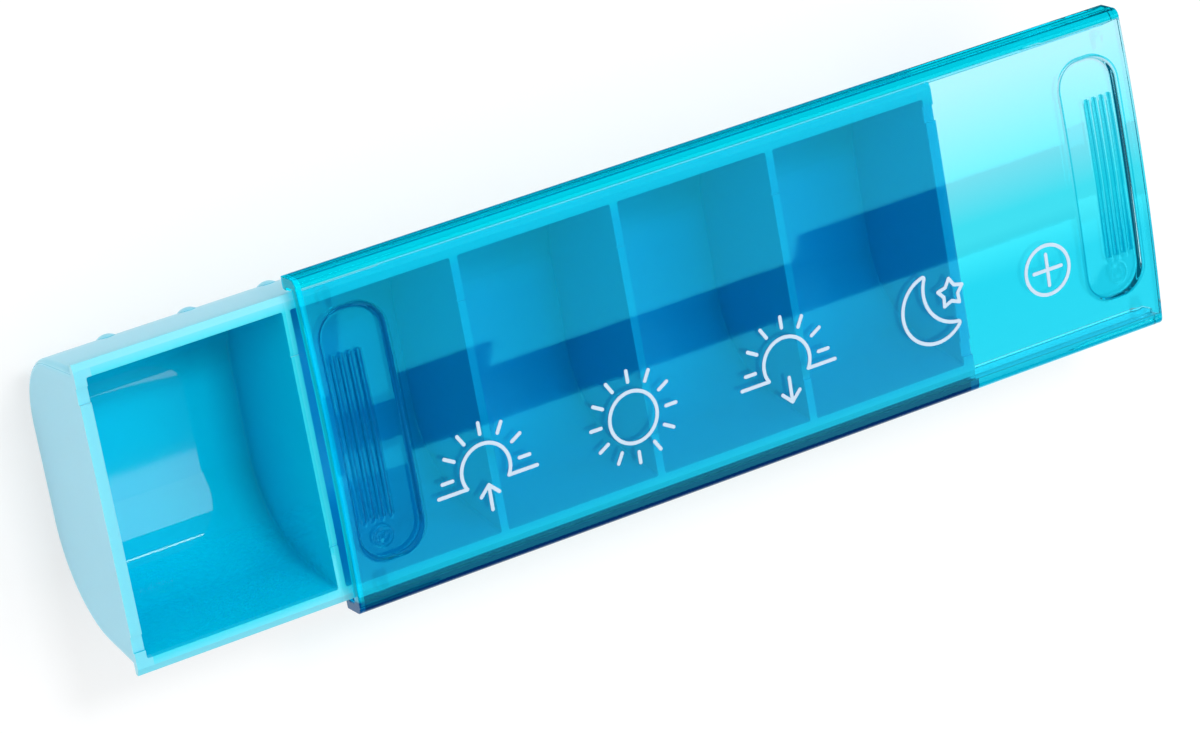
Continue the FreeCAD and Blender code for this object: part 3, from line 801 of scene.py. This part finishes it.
# light
lightValues = {
    "worldStrength": 0.55,
    "mirroredStrength": 0.08,  # what the lid and the tray mirror beside the panels
    "panels": {  # mm; the lid mirrors the front and back panels, with a dark gap between them
        "frontPanel": {"middle": (550, -500, 900), "size": (440, 275), "radiance": 2.2},
        "backPanel": {"middle": (550, 110, 900), "size": (440, 740), "radiance": 2.4},
        "stepPanel": {"middle": (449, -275, 900), "size": (113, 32), "radiance": 2.4},
        "cornerPanel": {"middle": (290, 95, 900), "size": (80, 750), "radiance": 2.6},
        "cornerStrip": {"middle": (290, -346, 900), "size": (80, 38), "radiance": 2.3},
        "linePanel": {
            "middle": (460, 1150, 900),
            "size": (260, 45),
            "radiance": 9,
            "aim": (0, 0, 0),
        },
        "mainPanel": {
            "middle": (100, 560, 1080),
            "size": (300, 240),
            "radiance": 26,
            "aim": (0, 0, 0),
            "mirrored": False,
        },
        "leftPanel": {
            "middle": (-1100, 100, 500),
            "size": (800, 600),
            "radiance": 1.4,
            "aim": (0, 0, 0),
            "mirrored": False,
        },
    },
}


def addWorld(values):
    world = bpy.data.worlds.new("studio")
    world.use_nodes = True
    tree = world.node_tree
    tree.nodes.clear()
    soft = addNode(tree, "ShaderNodeBackground", 0, 0)
    soft.inputs["Strength"].default_value = values["worldStrength"]
    dim = addNode(tree, "ShaderNodeBackground", 0, 200)
    dim.inputs["Strength"].default_value = values["mirroredStrength"]
    white = addNode(tree, "ShaderNodeBackground", 0, -200)
    mix = addNode(tree, "ShaderNodeMixShader", 300, 0)
    output = addNode(tree, "ShaderNodeOutputWorld", 600, 0)
    white.inputs["Strength"].default_value = 1
    for node in (soft, white, dim):
        node.inputs["Color"].default_value = (1, 1, 1, 1)
    rays = addNode(tree, "ShaderNodeLightPath", -300, 300)
    mirrored = mathNode(
        tree, "MAXIMUM", rays.outputs["Is Glossy Ray"], rays.outputs["Is Transmission Ray"], -100, 300
    )
    choose = addNode(tree, "ShaderNodeMixShader", 150, 100)
    tree.links.new(mirrored, choose.inputs["Fac"])
    tree.links.new(soft.outputs[0], choose.inputs[1])
    tree.links.new(dim.outputs[0], choose.inputs[2])
    tree.links.new(rays.outputs["Is Camera Ray"], mix.inputs["Fac"])
    tree.links.new(choose.outputs[0], mix.inputs[1])
    tree.links.new(white.outputs[0], mix.inputs[2])
    tree.links.new(mix.outputs[0], output.inputs["Surface"])
    bpy.context.scene.world = world


# a rectangle of light facing its aim, or straight down; its power follows from its radiance
def addPanel(name, panel):
    middle = Vector(panel["middle"]) * mm
    data = bpy.data.lights.new(name, "AREA")
    data.shape = "RECTANGLE"
    data.size = panel["size"][0] * mm
    data.size_y = panel["size"][1] * mm
    data.energy = panel["radiance"] * math.pi * data.size * data.size_y
    lamp = bpy.data.objects.new(name, data)
    lamp.location = middle
    if "aim" in panel:
        away = Vector(panel["aim"]) * mm - middle
        lamp.rotation_euler = away.to_track_quat("-Z", "Y").to_euler()
    lamp.visible_camera = False
    lamp.visible_glossy = panel.get("mirrored", True)
    bpy.context.collection.objects.link(lamp)


addWorld(lightValues)
for name, panel in lightValues["panels"].items():
    addPanel(name, panel)
bpy.context.scene.view_settings.view_transform = "Standard"
print("light", len(lightValues["panels"]), "panels")
